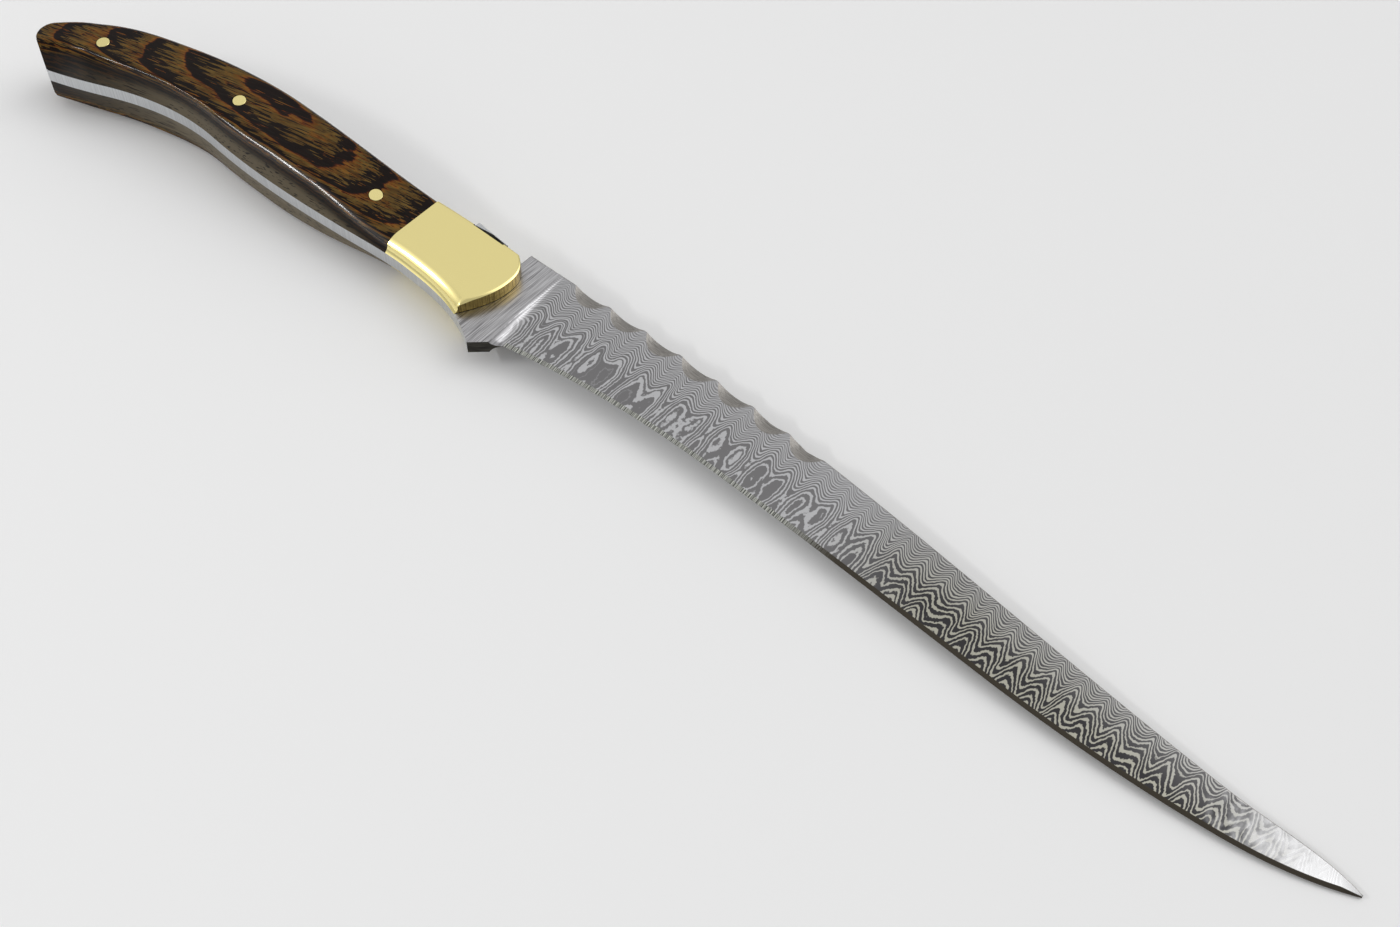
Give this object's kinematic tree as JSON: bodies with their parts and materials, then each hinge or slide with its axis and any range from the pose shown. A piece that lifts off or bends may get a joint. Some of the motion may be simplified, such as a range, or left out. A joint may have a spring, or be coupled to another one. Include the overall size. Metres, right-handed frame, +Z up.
{
  "type": "ham knife",
  "caption": "Full-tang slicing knife with a long patterned steel blade, scalloped spine, dropped heel, brass bolsters and pinned wooden scales on a curved grip.",
  "frame": {"origin": "on the plane that the knife's far side rests on, under the middle of the bounding box", "axes": "+X along the knife to the blade's tip, +Y across the blade from edge to spine, +Z up out of the near side, square to the blade's flat"},
  "size_m": [0.3314, 0.0392, 0.0166],
  "materials": {
    "steel": "etched ladder pattern on the blade, polished on the tang's edge",
    "brass": "mirror polished",
    "wenge": "oiled and polished, dark flame figure"
  },
  "bodies": {
    "root": {"blade": "steel", "bolster_near": "brass", "bolster_far": "brass", "scale_near": "wenge", "scale_far": "wenge", "scale_pin_front": "brass", "scale_pin_middle": "brass", "scale_pin_butt": "brass", "bolster_pin_rear": "brass", "bolster_pin_front": "brass"}
  },
  "joints": []
}
